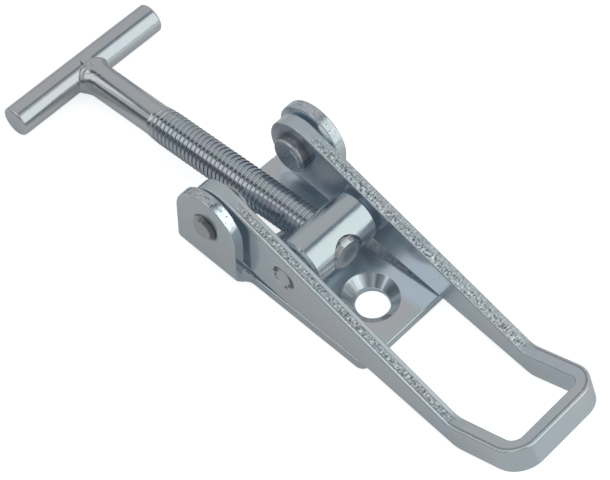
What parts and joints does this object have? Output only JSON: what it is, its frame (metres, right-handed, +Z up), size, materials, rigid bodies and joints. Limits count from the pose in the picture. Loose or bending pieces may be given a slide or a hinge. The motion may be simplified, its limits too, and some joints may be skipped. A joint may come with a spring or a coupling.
{
  "type": "toggle latch",
  "caption": "Over-centre toggle latch: a U-shaped lever pivots between the ears of a folded base and draws a threaded T-bolt through a swivelling barrel.",
  "frame": {"origin": "on the base's underside, midway between its two fixing holes", "axes": "+X from the T-bar towards the lever's grip, +Y across the latch, +Z up out of the base"},
  "size_m": [0.2094, 0.0616, 0.0343],
  "materials": {
    "base_zinc": "bright zinc plate on folded sheet steel",
    "lever_zinc": "bright zinc plate on bent strip, rough sheared edges",
    "rivet_steel": "zinc plate, end faces dull",
    "trunnion_zinc": "bright zinc plate on turned bar",
    "bolt_zinc": "bright zinc plate on turned and threaded bar"
  },
  "bodies": {
    "base": {"base_bracket": "base_zinc"},
    "lever": {"lever": "lever_zinc", "near_pivot_rivet": "rivet_steel", "far_pivot_rivet": "rivet_steel"},
    "trunnion": {"trunnion_barrel": "trunnion_zinc"},
    "t_bolt": {"threaded_bolt": "bolt_zinc", "t_bar": "bolt_zinc", "t_bar_weld": "bolt_zinc"}
  },
  "joints": [
    {"name": "lever_pivot", "type": "hinge", "parent": "base", "child": "lever", "pos_m": [-0.0247, 0, 0.02215], "axis": [0, -1, 0], "range_deg": [0, 175]},
    {"name": "trunnion_swing", "type": "hinge", "parent": "lever", "child": "trunnion", "pos_m": [0.0028, 0, 0.01675], "axis": [0, -1, 0], "range_deg": [-175, 0]},
    {"name": "bolt_turn", "type": "hinge", "parent": "trunnion", "child": "t_bolt", "pos_m": [0.0028, 0, 0.01675], "axis": [0.995, 0, 0.0997], "continuous": true}
  ],
  "couplings": [
    {"joint": "trunnion_swing", "follows": "lever_pivot", "ratio": -1}
  ]
}
